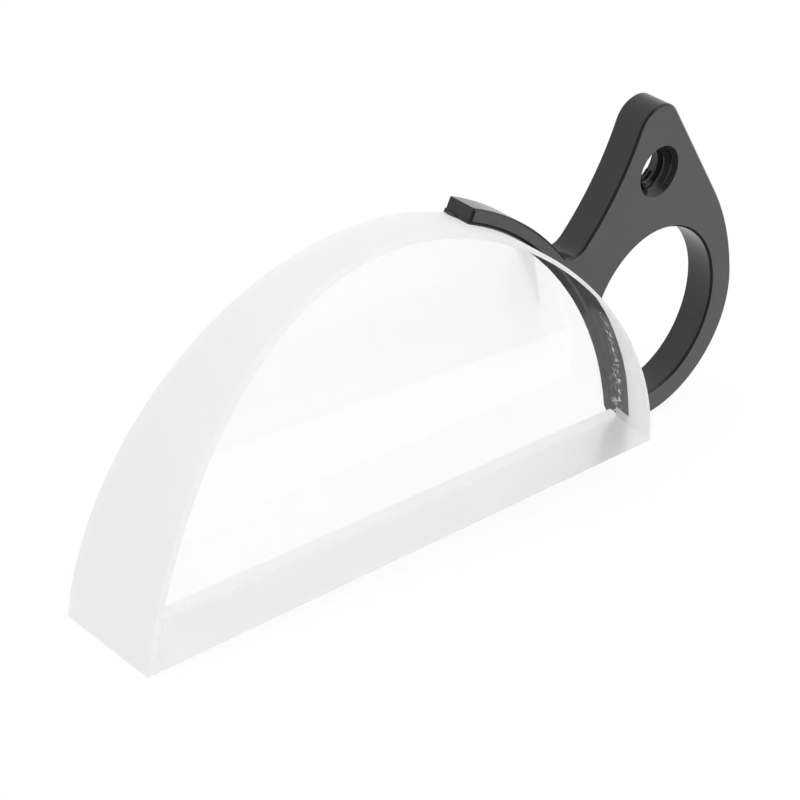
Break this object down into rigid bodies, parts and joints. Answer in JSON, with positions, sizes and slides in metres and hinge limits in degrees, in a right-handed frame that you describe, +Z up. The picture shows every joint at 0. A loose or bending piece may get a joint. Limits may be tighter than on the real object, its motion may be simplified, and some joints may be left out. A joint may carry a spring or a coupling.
{
  "type": "handheld prism",
  "caption": "Half-moon glass camera prism, convex in front and flat behind, bonded to a plate bracket with a finger ring and a threaded ear.",
  "frame": {"origin": "centre of the flat base of the glass", "axes": "+X along the base towards the bracket, +Y from the convex front face to the flat back face, +Z up from the base to the crown of the rim"},
  "size_m": [0.1154, 0.0164, 0.0506],
  "materials": {
    "glass": "polished front and back, ground rim and base",
    "adhesive": "cured dark film with small bubbles",
    "anodised": "fine satin black anodised"
  },
  "bodies": {
    "root": {"prism": "glass", "bond": "adhesive", "bracket": "anodised"}
  },
  "joints": []
}
